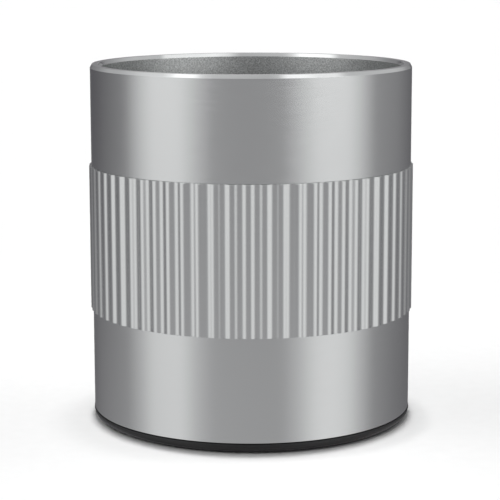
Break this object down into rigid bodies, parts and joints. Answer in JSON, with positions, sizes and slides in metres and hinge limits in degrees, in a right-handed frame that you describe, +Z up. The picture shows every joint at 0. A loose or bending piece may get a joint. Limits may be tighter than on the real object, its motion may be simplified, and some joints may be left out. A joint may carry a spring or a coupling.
{
  "type": "pen holder",
  "caption": "Round open-topped aluminium pen holder with a fluted ring round its middle and a black moulded base.",
  "frame": {"origin": "centre of the cup's foot, on the surface that it stands on", "axes": "+Z up along the cup's axis; -Y is the side that the picture shows, with +X to its right"},
  "size_m": [0.0912, 0.0912, 0.1],
  "materials": {
    "tube": "fine circumferential brushing outside, polished chamfers, sand-textured bore",
    "band": "satin, smooth rounded flutes",
    "base": "black moulded plastic, fine satin grain",
    "floor_pad": "dark grey pressed felt",
    "foot_pad": "black cellular rubber, die-cut"
  },
  "bodies": {
    "root": {"upper_tube": "tube", "lower_tube": "tube", "fluted_band": "band", "base_cap": "base", "floor_pad": "floor_pad", "foot_pad": "foot_pad"}
  },
  "joints": []
}
